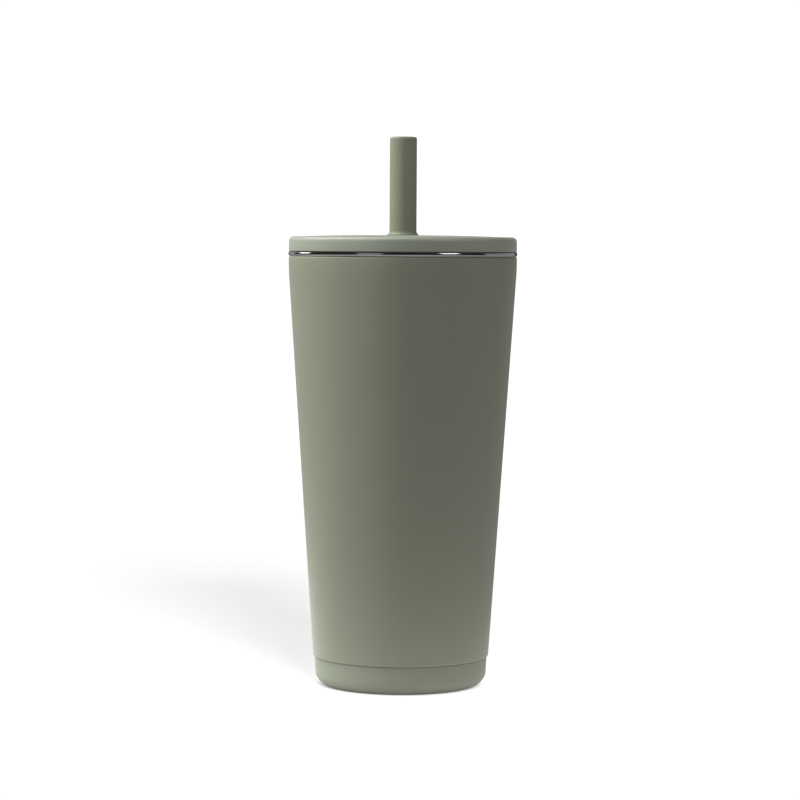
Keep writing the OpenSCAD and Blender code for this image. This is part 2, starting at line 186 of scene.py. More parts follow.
def ring_surface(name, rx, ry, z, centre=(0.0, 0.0), closed=True, turns=TURNS):
    """A mesh through rings: x = centre x + rx cos a, y = centre y + ry sin a, at height z.

    Neighbouring rings are joined by quads. A closed surface joins its last ring to its first one,
    and an open one ends in poles, where a ring of radius zero is merged into one vertex.
    """
    angle = np.linspace(0, 2 * math.pi, turns, endpoint=False)
    x = centre[0] + np.outer(rx, np.cos(angle))
    y = centre[1] + np.outer(ry, np.sin(angle))
    height = np.repeat(np.asarray(z, float)[:, None], turns, axis=1)
    points = np.stack([x, y, height], axis=-1).reshape(-1, 3) * MM
    rows = len(rx)
    i, j = np.meshgrid(np.arange(rows if closed else rows - 1), np.arange(turns), indexing="ij")
    up, side = (i + 1) % rows, (j + 1) % turns
    quads = np.stack([i * turns + j, i * turns + side, up * turns + side, up * turns + j], axis=-1)
    quads = quads.reshape(-1, 4)
    a, b, c, d = (points[quads[:, k]] for k in range(4))
    volume = np.einsum("ij,ij->", a, np.cross(b, c)) + np.einsum("ij,ij->", a, np.cross(c, d))
    if volume < 0:
        quads = quads[:, ::-1]
    mesh = bpy.data.meshes.new(name)
    mesh.from_pydata(points, [], quads.tolist())
    work = bmesh.new()
    work.from_mesh(mesh)
    bmesh.ops.remove_doubles(work, verts=work.verts, dist=MERGE_WITHIN)
    work.to_mesh(mesh)
    work.free()
    smooth(mesh)
    piece = bpy.data.objects.new(name, mesh)
    bpy.context.scene.collection.objects.link(piece)
    return piece


def smooth(mesh):
    """Smooth shading, with the edges that turn more than the sharp angle kept crisp."""
    mesh.polygons.foreach_set("use_smooth", np.ones(len(mesh.polygons), bool))
    mesh.set_sharp_from_angle(angle=SHARP_ANGLE)
    mesh.update()


def turned(name, corners, closed=True, turns=TURNS):
    """A turned piece from an outline of corners."""
    points = outline(corners)
    return ring_surface(name, points[:, 0], points[:, 0], points[:, 1], closed=closed, turns=turns)


def settle(piece, node, body, material):
    """Puts a finished piece in place of its CAD node, on its body, with its finish."""
    piece.data.materials.clear()
    piece.data.materials.append(material)
    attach(piece, body)
    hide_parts(node)
    print(f"{piece.name}: {len(piece.data.polygons)} faces on {body}")


# %% [markdown]
# ## Writing shaders as sums
# Node trees are easiest to read as arithmetic. A small class wraps one socket, so that `1 - mask`
# or `0.4 + 0.1 * grain` adds the Math nodes by itself. Every other node comes from one method that
# takes the node's type, its settings and what goes into its sockets.

# %% Socket wrapper
class Wire:
    """One output socket in a node tree, with arithmetic."""

    def __init__(self, tree, socket=None):
        self.tree = tree
        self.socket = socket

    def node(self, kind, settings=None, values=None, output=0):
        """Adds a node: settings first, then a value or a wire into each of the given sockets."""
        made = self.tree.nodes.new(kind)
        for key, value in (settings or {}).items():
            setattr(made, key, value)
        for key, value in (values or {}).items():
            if isinstance(value, Wire):
                self.tree.links.new(value.socket, made.inputs[key])
            else:
                made.inputs[key].default_value = value
        return Wire(self.tree, made.outputs[output] if made.outputs else None)

    def maths(self, operation, first, second=0.0):
        return self.node("ShaderNodeMath", {"operation": operation}, {0: first, 1: second})

    def __add__(self, other):
        return self.maths("ADD", self, other)

    def __sub__(self, other):
        return self.maths("SUBTRACT", self, other)

    def __rsub__(self, other):
        return self.maths("SUBTRACT", other, self)

    def __mul__(self, other):
        return self.maths("MULTIPLY", self, other)

    __radd__ = __add__
    __rmul__ = __mul__


# %% [markdown]
# All patterns read Object coordinates. They are in metres, so a noise scale of 1000 gives features
# about a millimetre wide. `place` is that coordinate; `grain` is plain noise; `blend` mixes two
# colours.

# %% Pattern helpers
def place(tree):
    """Object coordinates of the point that is shaded."""
    return tree.node("ShaderNodeTexCoord", output="Object")


def grain(tree, where, scale, detail=2.0, roughness=0.5):
    """Noise from 0 to 1 whose features are about 1 / scale metres wide."""
    sockets = {"Vector": where, "Scale": scale, "Detail": detail, "Roughness": roughness}
    return tree.node("ShaderNodeTexNoise", {"noise_dimensions": "3D"}, sockets)


def level(tree, where):
    """Height of the shaded point above the table, in metres."""
    return tree.node("ShaderNodeSeparateXYZ", {}, {"Vector": where}, output="Z")


def step_up(tree, value, low, high):
    """0 below low, 1 above high and a smooth step between."""
    settings = {"interpolation_type": "SMOOTHSTEP", "clamp": True}
    sockets = {"Value": value, "From Min": low, "From Max": high, "To Min": 0.0, "To Max": 1.0}
    return tree.node("ShaderNodeMapRange", settings, sockets)


def blend(tree, factor, first, second):
    """A colour between first and second."""
    settings = {"data_type": "RGBA", "blend_type": "MIX", "clamp_factor": True}
    return tree.node("ShaderNodeMix", settings, {0: factor, 6: first, 7: second}, output=2)


def bump(tree, height, depth, strength=1.0):
    """A normal tilted by a height from 0 to 1 that stands for a relief of depth metres."""
    sockets = {"Height": height, "Distance": depth, "Strength": strength}
    return tree.node("ShaderNodeBump", {}, sockets)


def colour(r, g, b):
    """A linear RGBA colour from values as they look on a screen, 0 to 255."""
    screen = np.array([r, g, b], float) / 255
    linear = np.where(screen <= 0.04045, screen / 12.92, ((screen + 0.055) / 1.055) ** 2.4)
    return (*linear.tolist(), 1.0)


def finish(name, sockets_of):
    """A material from a function of a bare wire that gives the Principled sockets' values."""
    material = bpy.data.materials.new(name)
    material.use_nodes = True
    material.node_tree.nodes.clear()
    tree = Wire(material.node_tree)
    surface = tree.node("ShaderNodeBsdfPrincipled", {}, sockets_of(tree))
    tree.node("ShaderNodeOutputMaterial", {}, {"Surface": surface})
    print("finish:", name, "with", len(material.node_tree.nodes), "nodes")
    return material


# %% [markdown]
# ## Powder coat
# The wall is sprayed with powder that melts into a matte skin. Close up it is a fine orange peel
# about two thirds of a millimetre across with a finer grit on top, and its colour is never quite
# even. The coat stops at the step where the boot begins: below it the same wall is bare steel, so
# a mask on height switches the metal on there.

# %% Powder coat finish
SAGE = colour(124, 128, 111)
SAGE_DARK = colour(120, 124, 107)
STEEL = (0.32, 0.31, 0.30, 1.0)
BARE_BELOW = 0.3
COATED_ABOVE = 0.1


def powder_coat(tree):
    where = place(tree)
    peel = grain(tree, where, 1500, 1.0)
    grit = grain(tree, where, 4200, 2.0)
    cloud = grain(tree, where, 22, 3.0)
    low, high = (BOOT_H - BARE_BELOW) * MM, (BOOT_H + COATED_ABOVE) * MM
    bare = 1 - step_up(tree, level(tree, where), low, high)
    coat = blend(tree, cloud * 0.6 + grit * 0.4, SAGE_DARK, SAGE)
    relief = peel * 0.55 + grit * 0.45
    return {
        "Base Color": blend(tree, bare, coat, STEEL),
        "Metallic": bare,
        "Roughness": (0.42 + 0.12 * grit + 0.05 * cloud) * (1 - bare) + 0.28 * bare,
        "Normal": bump(tree, relief * (1 - bare), 0.03 * MM, 0.6),
    }


coat_finish = finish("powder_coat", powder_coat)

# %% [markdown]
# ## Polished steel
# The liner is spun and then polished on a lathe, so what is left of the polish runs round the
# axis. Noise in one dimension over height draws those rings, a second noise breaks them up, and
# both go into the roughness and a very shallow bump.

# %% Steel finishes
def turned_steel(roughness, line_depth, shade):
    """Steel with turning lines: its roughness, the depth of a line in metres, its lightness."""
    dull = (0.94 * shade, 0.915 * shade, 0.88 * shade, 1.0)
    bright = (1.06 * shade, 1.035 * shade, 1.0 * shade, 1.0)

    def sockets(tree):
        where = place(tree)
        z = level(tree, where)
        sizes = {"W": z, "Scale": 5200.0, "Detail": 3.0}
        rings = tree.node("ShaderNodeTexNoise", {"noise_dimensions": "1D"}, sizes)
        smear = grain(tree, where, 60, 3.0)
        return {
            "Base Color": blend(tree, smear, dull, bright),
            "Metallic": 1.0,
            "Roughness": roughness + 0.08 * rings + 0.06 * smear,
            "Normal": bump(tree, rings, line_depth, 0.35),
        }
    return sockets


steel_finish = finish("polished_steel", turned_steel(0.2, 0.006 * MM, 0.7))
lip_finish = finish("mirror_steel", turned_steel(0.03, 0.001 * MM, 0.51))
base_finish = finish("brushed_steel", turned_steel(0.3, 0.01 * MM, 0.32))

# %% [markdown]
# ## Moulded lid, plug and straw
# These are injection moulded from the same tinted plastic. The tool's surface is lightly blasted,
# which gives a satin sheen: a very fine grain in the bump, and a roughness that wanders a little
# with the flow.

# %% Plastic finishes
def moulded(light, dark, base_roughness):
    """Satin moulded plastic between two shades."""
    def sockets(tree):
        where = place(tree)
        flow = grain(tree, where, 35, 2.0)
        blast = grain(tree, where, 5200, 2.0)
        return {
            "Base Color": blend(tree, 0.7 * flow + 0.3 * blast, dark, light),
            "Roughness": base_roughness + 0.06 * flow + 0.08 * blast,
            "Normal": bump(tree, blast, 0.012 * MM, 0.5),
        }
    return sockets


lid_finish = finish("lid_plastic", moulded(colour(141, 146, 132), colour(137, 142, 128), 0.36))
plug_finish = finish("plug_plastic", moulded(colour(158, 162, 146), colour(153, 157, 141), 0.32))
straw_finish = finish("straw_plastic", moulded(colour(160, 164, 148), colour(155, 159, 143), 0.3))

# %% [markdown]
# ## Silicone
# Silicone is softer to look at than plastic: no clear highlight, a faint powdery sheen at grazing
# angles, and a few specks of dust that its tacky surface holds. The specks are the highest peaks
# of a noise.

# %% Silicone finishes
def silicone(light, dark, base_roughness=0.56, sheen=0.05):
    """Matte silicone between two shades."""
    def sockets(tree):
        where = place(tree)
        cloud = grain(tree, where, 45, 2.0)
        skin = grain(tree, where, 3600, 2.0)
        dust = step_up(tree, grain(tree, where, 950, 1.0), 0.74, 0.80)
        shade = blend(tree, cloud, dark, light)
        return {
            "Base Color": blend(tree, 0.25 * dust, shade, colour(196, 200, 186)),
            "Roughness": base_roughness + 0.08 * skin + 0.06 * cloud + 0.1 * dust,
            "Normal": bump(tree, skin, 0.015 * MM, 0.5),
            "Sheen Weight": sheen,
            "Sheen Roughness": 0.5,
        }
    return sockets


boot_finish = finish("boot_silicone", silicone(colour(126, 130, 114), colour(121, 126, 109)))
soft_touch = silicone(colour(124, 129, 110), colour(120, 125, 106), base_roughness=0.45, sheen=0.0)
tip_finish = finish("tip_silicone", soft_touch)
seal_finish = finish("seal_silicone", silicone(colour(150, 154, 138), colour(144, 148, 132)))

# %% [markdown]
# ## Hidden metals and glass
# Nobody sees the vacuum space until the cup is cut open, but the pieces in it are still
# themselves: crinkled copper foil, a dull sintered pill and a bead of dark glass solder.

# %% Hidden finishes
def copper_foil(tree):
    crinkle = grain(tree, place(tree), 260, 4.0, 0.6)
    return {
        "Base Color": blend(tree, crinkle, (0.70, 0.33, 0.20, 1.0), (0.86, 0.48, 0.30, 1.0)),
        "Metallic": 1.0,
        "Roughness": 0.22 + 0.2 * crinkle,
        "Normal": bump(tree, crinkle, 0.2 * MM, 0.6),
    }


def sintered_alloy(tree):
    pores = grain(tree, place(tree), 2600, 4.0, 0.7)
    return {
        "Base Color": blend(tree, pores, (0.10, 0.10, 0.11, 1.0), (0.20, 0.20, 0.21, 1.0)),
        "Metallic": 0.8,
        "Roughness": 0.6 + 0.2 * pores,
        "Normal": bump(tree, pores, 0.05 * MM, 0.7),
    }


def glass_solder(tree):
    swirl = grain(tree, place(tree), 700, 3.0)
    return {
        "Base Color": blend(tree, swirl, (0.03, 0.04, 0.05, 1.0), (0.09, 0.10, 0.12, 1.0)),
        "Roughness": 0.08 + 0.1 * swirl,
        "Normal": bump(tree, swirl, 0.1 * MM, 0.4),
    }


foil_finish = finish("copper_foil", copper_foil)
getter_finish = finish("getter_alloy", sintered_alloy)
solder_finish = finish("glass_solder", glass_solder)
for node, material in (
    ("foil_wrap", foil_finish), ("foil_disc", foil_finish), ("getter", getter_finish),
    ("getter_clip", steel_finish), ("seal_bead", solder_finish),
):
    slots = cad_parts[node].data.materials
    if len(slots):
        slots[0] = material
    else:
        slots.append(material)
    print(f"{node}: {material.name}")

# %% [markdown]
# ## Outer wall
# One steel tube, tapered on a mandrel, necked in at the foot to take the boot and turned in at the
# shoulder, where the liner's lip lands on it. The taper runs out into the upright neck through a
# very large fillet, and the lower edge and the shoulder have small ones, which is where the light
# catches.

# %% Outer wall
SHOULDER_R = 0.7
LOW_EDGE_R = 0.9
RIM_W = 4.05
BLEND_SHARE = 0.85
corner_z = wall_h - NECK_BLEND_H / 2
taper = (neck_r - FOOT_R) / (corner_z - BOOT_H)
blend_fillet = BLEND_SHARE * NECK_BLEND_H / 2 / math.tan(math.atan(taper) / 2)
liner_out_r = lip_r - RIM_W + LINER_T
flange_in_r = liner_out_r + GAP
bend = WALL_T / 2

outer_wall = turned("cup_wall", [
    (spigot_r, seam_z), (spigot_r, BOOT_H, 0.25), (FOOT_R, BOOT_H, LOW_EDGE_R),
    (neck_r, corner_z, blend_fillet), (neck_r, wall_h, SHOULDER_R),
    (flange_in_r, wall_h), (flange_in_r, wall_h - WALL_T),
    (neck_r - WALL_T, wall_h - WALL_T, bend), (neck_r - WALL_T, corner_z, blend_fillet),
    (FOOT_R - WALL_T, BOOT_H + WALL_T, bend), (spigot_r - WALL_T, BOOT_H + WALL_T, bend),
    (spigot_r - WALL_T, seam_z),
], turns=FINE_TURNS)
settle(outer_wall, "outer_wall", "cup", coat_finish)

# %% [markdown]
# ## Liner and lip
# The bright ring under the lid is where the liner is welded to the wall. The weld is ground into a
# rounded bead and polished like a mirror, while the flat top and the bore keep their fine turning
# lines. They are two pieces, because a bead this small needs lights of its own to look like metal.
# The bead is a little wider than two of its fillets, since a fillet may take up just under half of
# an edge.

# %% Liner wall and lip
LIP_EDGE_R = 0.75
MOUTH_R = 0.35
BEAD_W = 2.2 * LIP_EDGE_R
NECK_DROP = 3.0
NECK_R = 40.0
bore_r = liner_out_r - LINER_T
bead_r = lip_r - BEAD_W
neck_low_z = plug_z - NECK_DROP

liner_wall = turned("cup_liner", [
    (liner_low_r - LINER_T, liner_seam_z), (liner_low_r, liner_seam_z),
    (liner_out_r, neck_low_z, NECK_R), (liner_out_r, wall_h), (bead_r, wall_h), (bead_r, rim_z),
    (bore_r, rim_z, MOUTH_R), (bore_r, neck_low_z, NECK_R),
], turns=FINE_TURNS)
settle(liner_wall, "liner_wall", "cup", steel_finish)

lip = turned("cup_lip", [
    (bead_r, wall_h), (lip_r, wall_h, LIP_EDGE_R), (lip_r, rim_z, LIP_EDGE_R), (bead_r, rim_z),
], turns=FINE_TURNS)
settle(lip, "liner_wall", "cup", lip_finish)

# %% [markdown]
# ## Bottoms of the cup
# The liner's bottom is a drawn dish with a round corner, welded to the wall's lower edge. It ends
# on the axis at both ends of its outline, so it is an open surface with a pole inside and one
# outside.

# %% Liner bottom
LINER_CORNER_R = 6.0
floor_z = liner_z + LINER_T
low_in_r = liner_low_r - LINER_T
liner_base = turned("liner_bottom", [
    (0, liner_z), (liner_low_r, liner_z, LINER_CORNER_R), (liner_low_r, liner_seam_z),
    (low_in_r, liner_seam_z), (low_in_r, floor_z, LINER_CORNER_R - LINER_T), (0, floor_z),
], closed=False)
settle(liner_base, "liner_base", "cup", steel_finish)

# %% [markdown]
# The outer base is stamped: a flat ring to stand on, a recess, and in its middle a dimple around
# the hole through which the air was pumped out. Both sides of the sheet are in one outline.

# %% Outer base
BASE_CORNER_R = 4.0
DIMPLE_R = 5.0
DIMPLE_H = 1.6
HOLE_R = 1.0
recess_r = cover_r + GAP
inner_z = recess_z + WALL_T
outer_base = turned("cup_base", [
    (HOLE_R, recess_z + DIMPLE_H), (DIMPLE_R - WALL_T, recess_z + DIMPLE_H, 0.3),
    (DIMPLE_R, recess_z, 0.3), (recess_r, recess_z, 0.2), (recess_r + WALL_T, base_z, 0.4),
    (spigot_r, base_z, BASE_CORNER_R), (spigot_r, seam_z), (spigot_r - WALL_T, seam_z),
    (spigot_r - WALL_T, base_z + WALL_T, BASE_CORNER_R - WALL_T),
    (recess_r + 2 * WALL_T, base_z + WALL_T, 0.2), (recess_r + WALL_T, inner_z, 0.2),
    (DIMPLE_R + WALL_T, inner_z, 0.2), (DIMPLE_R, inner_z + DIMPLE_H, 0.2),
    (HOLE_R, inner_z + DIMPLE_H),
])
settle(outer_base, "outer_base", "cup", base_finish)

# %% [markdown]
# A thin disc hides the solder in the recess. A shallow ring pressed into it keeps it flat.

# %% Base disc
PRESSED_R = 14.0
PRESSED_ROOT = 1.2
PRESSED_TOP = 0.6
PRESSED_H = 0.3
pressed_z = cover_low_z + PRESSED_H
base_cover = turned("base_disc", [
    (0, cover_low_z), (PRESSED_R - PRESSED_ROOT, cover_low_z, 0.3),
    (PRESSED_R - PRESSED_TOP, pressed_z, 0.3), (PRESSED_R + PRESSED_TOP, pressed_z, 0.3),
    (PRESSED_R + PRESSED_ROOT, cover_low_z, 0.3),
    (cover_r, cover_low_z, 0.25), (cover_r, recess_z), (0, recess_z),
], closed=False)
settle(base_cover, "base_cover", "cup", base_finish)

# %% [markdown]
# ## Boot
# A silicone sleeve with a floor. Its side has a little draft, its corner is a quarter ellipse and
# its top edge is rounded, so a fine shadow line shows where it meets the wall. Underneath, a
# standing ring surrounds a hollow with three raised rings for grip.

# %% Boot
BOOT_DRAFT = 0.35
BOOT_CORNER_W = 6.1
BOOT_CORNER_H = 5.2
FOOT_RING_W = 5.0
FOOT_HOLLOW_H = 0.6
GRIP_RISE = 0.35
BOOT_TOP_GAP = 0.04
CORNER_EASE = 0.4
GRIP_RINGS = (8.0, 13.0, 18.0)
GRIP_ROOT = 0.8
GRIP_TOP = 0.5


def ellipse_corner(centre_r, centre_z, width, height, steps=12):
    """Quarter ellipse from straight down to straight out: (width sin t, -height cos t)."""
    t = np.linspace(0, math.pi / 2, steps)
    return [(centre_r + width * math.sin(a), centre_z - height * math.cos(a)) for a in t]


def grip_ring(radius):
    """Corners of one raised ring under the boot, wider at its root than at its top."""
    high = FOOT_HOLLOW_H - GRIP_RISE
    return [
        (radius - GRIP_ROOT, FOOT_HOLLOW_H, 0.2), (radius - GRIP_TOP, high, 0.2),
        (radius + GRIP_TOP, high, 0.2), (radius + GRIP_ROOT, FOOT_HOLLOW_H, 0.2),
    ]


foot_ring_r = boot_r - BOOT_DRAFT - BOOT_CORNER_W
hollow_r = foot_ring_r - FOOT_RING_W
boot_in_r = spigot_r + GAP
boot = turned("boot", [
    (0, FOOT_HOLLOW_H), *[corner for radius in GRIP_RINGS for corner in grip_ring(radius)],
    (hollow_r, FOOT_HOLLOW_H, 0.2), (hollow_r + FOOT_HOLLOW_H, 0.0, 0.3),
    *ellipse_corner(foot_ring_r, BOOT_CORNER_H, BOOT_CORNER_W, BOOT_CORNER_H),
    (boot_r, BOOT_H - BOOT_TOP_GAP, 0.2), (boot_in_r, BOOT_H - BOOT_TOP_GAP, 0.1),
    (boot_in_r, base_z, BASE_CORNER_R - CORNER_EASE), (0, base_z),
], closed=False, turns=FINE_TURNS)
settle(boot, "base_boot", "boot", boot_finish)

# %% [markdown]
# ## Lid
# A flush disc with a rounded upper edge and a slight dome, so that it sheds water. The dome is a
# parabola that starts flat under the straw's collar. The vent is a real hole, cut with a boolean,
# because a painted dot would look wrong from close by. The boolean's result is kept as plain mesh
# data.

# %% Cutting a hole
OVERSHOOT = 1


def rod(name, radius, low, high, centre):
    """A closed cylinder for cutting holes, longer at both ends than the hole is deep."""
    rings_r = np.array([0, radius, radius, 0.0])
    rings_z = np.array([low - OVERSHOOT, low - OVERSHOOT, high + OVERSHOOT, high + OVERSHOOT])
    return ring_surface(name, rings_r, rings_r, rings_z, centre=centre, closed=False, turns=48)


def cut(piece, cutter):
    """Subtracts one closed mesh from another and deletes the cutter."""
    modifier = piece.modifiers.new("cut", "BOOLEAN")
    modifier.operation = "DIFFERENCE"
    modifier.solver = "EXACT"
    modifier.object = cutter
    bpy.context.view_layer.update()
    graph = bpy.context.evaluated_depsgraph_get()
    result = bpy.data.meshes.new_from_object(piece.evaluated_get(graph))
    piece.modifiers.clear()
    piece.data = result
    bpy.data.objects.remove(cutter)
    smooth(result)
    print(f"{piece.name} is cut and has {len(result.polygons)} faces")


# %% [markdown]
# The lid's outline runs down into the seat of the grommet, which has a narrow waist, and along the
# underside to a side wall that stands on the rim.

# %% Lid cover
LID_EDGE_R = 1.9
LID_DOME_H = 0.7
LID_SIDE_T = 1.6
COLLAR_COVER = 0.45
BUSHING_FLANGE_H = 0.9
VENT_D = 2.4
WAIST_HOLE_T = 1.0
lid_edge_z = lid_mid_z - LID_DOME_H
land_r = collar_r + COLLAR_COVER
seat_r = bushing_r + GAP
waist_hole_r = tube_r + WAIST_HOLE_T


def dome(steps=14):
    """Points of the lid's top from its edge to the land: the drop grows as the radius squared."""
    edge_r = lid_r - LID_EDGE_R
    r = np.linspace(edge_r, land_r, steps)[1:]
    z = lid_mid_z - LID_DOME_H * ((r - land_r) / (edge_r - land_r)) ** 2
    return list(zip(r.tolist(), z.tolist()))


lid_cover = turned("lid_top", [
    (lid_r, rim_z, 0.2), (lid_r, lid_edge_z, LID_EDGE_R), *dome(),
    (seat_r, lid_mid_z, 0.15), (seat_r, lid_mid_z - BUSHING_FLANGE_H),
    (waist_hole_r, lid_mid_z - BUSHING_FLANGE_H), (waist_hole_r, lid_under_z),
    (lid_r - LID_SIDE_T, lid_under_z, 0.4), (lid_r - LID_SIDE_T, rim_z, 0.2),
], turns=FINE_TURNS)
cut(lid_cover, rod("vent_cutter", VENT_D / 2, lid_under_z, lid_mid_z, (0, vent_y)))
settle(lid_cover, "lid_cover", "lid", lid_finish)

# %% [markdown]
# ## Plug, seal, grommet and valve
# The plug is welded under the lid's top and closes it off. Its groove holds the seal, the boss in
# its middle holds a grommet, and a hole behind that holds a duckbill valve.

# %% Plug
GROOVE_DEPTH = 1.6
PLUG_NOSE = 1.2
PLUG_WALL_T = 1.4
PLUG_FLOOR_T = 1.8
FLANGE_H = 1.4
VALVE_SEAT_R = 2.5
PLUG_PLAY = 0.5
BOSS_PLAY = 0.6
plug_r = bore_r - PLUG_PLAY
groove_r = plug_r - GROOVE_DEPTH
plug_in_r = groove_r - PLUG_WALL_T
plug_floor_z = plug_z + PLUG_FLOOR_T
flange_z = rim_z + GAP
boss_in_r = tube_r + BOSS_PLAY
boss_r = bushing_r + GAP
groove_low_z, groove_high_z = seal_low_z - GAP, seal_high_z + GAP

plug = turned("lid_plug_body", [
    (boss_in_r, plug_z, 0.3), (plug_r, plug_z, PLUG_NOSE), (plug_r, groove_low_z, 0.15),
    (groove_r, groove_low_z), (groove_r, groove_high_z), (plug_r, groove_high_z, 0.15),
    (plug_r, flange_z, 0.2), (flange_r, flange_z, 0.3), (flange_r, flange_z + FLANGE_H, 0.3),
    (plug_in_r + PLUG_NOSE, flange_z + FLANGE_H), (plug_in_r + PLUG_NOSE, lid_under_z),
    (plug_in_r, lid_under_z), (plug_in_r, plug_floor_z, 1.0), (boss_r, plug_floor_z, 0.6),
    (boss_r, bushing_low_z), (boss_in_r, bushing_low_z),
])
cut(plug, rod("seat_cutter", VALVE_SEAT_R, plug_z, plug_floor_z, (0, vent_y)))
settle(plug, "lid_plug", "lid", plug_finish)

# %% [markdown]
# The seal is a moulded band with two lips that wipe the bore. Two soft lips close better than one
# thick ring and need less force. A lip is the same few corners at another height, so a function
# gives them.

# %% Seal
SEAL_BAND_T = 0.9
FLAT_SHARE = 5
LIP_SHARE = 0.95
seal_in_r = groove_r + GAP
band_r = seal_in_r + SEAL_BAND_T
lip_step = (seal_high_z - seal_low_z) / 2


def wiping_lip(low_z):
    """Corners of one lip: out to the seal's full radius and back to the band."""
    middle = low_z + lip_step / 2
    flat_high = middle + lip_step / FLAT_SHARE
    high = low_z + LIP_SHARE * lip_step
    return [
        (band_r, low_z, 0.25), (seal_r, middle, 0.12),
        (seal_r, flat_high, 0.12), (band_r, high, 0.25),
    ]


seal = turned("lid_ring_seal", [
    (seal_in_r, seal_low_z, 0.2), *wiping_lip(seal_low_z), *wiping_lip(seal_low_z + lip_step),
    (seal_in_r, seal_high_z, 0.2),
])
settle(seal, "lid_seal", "lid", seal_finish)

# %% [markdown]
# The grommet fills the gap between the straw and the lid. It is pulled in from below until its
# waist snaps into the narrow hole, and a flange lies on each side of it.

# %% Straw grommet
STRAW_FIT = 0.05
WAIST_T = 0.9
waist_r = tube_r + WAIST_T
bushing = turned("straw_grommet", [
    (tube_r + STRAW_FIT, bushing_low_z, 0.2), (bushing_r, bushing_low_z, 0.3),
    (bushing_r, lid_under_z, 0.2), (waist_r, lid_under_z, 0.1),
    (waist_r, lid_mid_z - BUSHING_FLANGE_H, 0.1), (bushing_r, lid_mid_z - BUSHING_FLANGE_H, 0.2),
    (bushing_r, lid_mid_z, 0.2), (tube_r + STRAW_FIT, lid_mid_z, 0.2),
], turns=96)
settle(bushing, "straw_bushing", "lid", seal_finish)

# %% [markdown]
# The valve is round where the plug holds it and flattens to a slit at its tip. So its rings go
# from circles to thin ellipses, and the path starts inside the air passage and ends in the slit.

# %% Vent valve
VALVE_WALL = 0.8
BILL_HALF_T = 0.6
SLIT_HALF_T = 0.1
VALVE_DISC_T = 1.0
HEAD_W = 0.6
BILL_STEPS = 10
valve_top_z = valve_high.z / MM
bill_low_z = valve_low.z / MM
bill_top_z = plug_z - VALVE_DISC_T
stem_r = VALVE_SEAT_R - GAP
head_r = VALVE_SEAT_R + HEAD_W
disc_r = (valve_high.y - valve_low.y) / 2 / MM
air_r = stem_r - VALVE_WALL
bill = np.linspace(0, 1, BILL_STEPS)
bill_drop = bill_top_z + (bill_low_z - bill_top_z) * bill
passage = [(0, bill_top_z), (air_r, bill_top_z), (air_r, valve_top_z), (stem_r, valve_top_z, 0.2)]
holder = [
    (head_r, plug_floor_z, 0.2), (stem_r, plug_floor_z), (stem_r, plug_z), (disc_r, plug_z, 0.3),
]
round_part = outline([*passage, *holder, (disc_r, bill_top_z, 0.3), (stem_r, bill_top_z)])[:-1]
slit_z = [bill_low_z, bill_low_z + VALVE_WALL, bill_low_z + VALVE_WALL]
valve_rx = np.concatenate([round_part[:, 0], np.full(BILL_STEPS, stem_r), [air_r, air_r, 0]])
valve_ry = np.concatenate([
    round_part[:, 0], stem_r + (BILL_HALF_T - stem_r) * bill, [SLIT_HALF_T, SLIT_HALF_T, 0],
])
valve_z = np.concatenate([round_part[:, 1], bill_drop, slit_z])
valve = ring_surface(
    "duckbill_valve", valve_rx, valve_ry, valve_z, centre=(0, vent_y), closed=False, turns=72
)
settle(valve, "vent_valve", "lid", seal_finish)

# %% [markdown]
# ## Straw and soft tip
# The straw is a plain extruded tube with its cut ends eased.

# %% Straw
TUBE_T = 0.9
tube_in_r = tube_r - TUBE_T
straw = turned("straw", [
    (tube_in_r, tube_foot_z, 0.3), (tube_r, tube_foot_z, 0.3),
    (tube_r, tube_top_z, 0.3), (tube_in_r, tube_top_z, 0.3),
], turns=96)
settle(straw, "straw_tube", "straw", straw_finish)

# %% [markdown]
# The tip slips over the straw down to the lid, where a concave flare spreads into a collar. The
# flare is a quarter ellipse: radius by the sine of an angle and height by its cosine. The mouth
# end is rounded.

# %% Soft tip
TIP_WALL_T = 1.3
TIP_EDGE_R = 0.95
COLLAR_H = 1.9
COLLAR_EDGE = 0.25
tip_r = tube_r + STRAW_FIT + TIP_WALL_T
flare_t = np.linspace(0, math.pi / 2, 12)
flare_r = collar_r - (collar_r - tip_r) * np.sin(flare_t)
flare_z = lid_mid_z + COLLAR_H - (COLLAR_H - COLLAR_EDGE) * np.cos(flare_t)
tip = turned("straw_tip_soft", [
    (tube_r + STRAW_FIT, lid_mid_z, 0.2), (collar_r, lid_mid_z, 0.1),
    *zip(flare_r.tolist(), flare_z.tolist()),
    (tip_r, tip_top_z, TIP_EDGE_R), (tube_in_r, tip_top_z, 0.5),
    (tube_in_r, tube_top_z), (tube_r + STRAW_FIT, tube_top_z),
], turns=160)
settle(tip, "straw_tip", "tip", tip_finish)
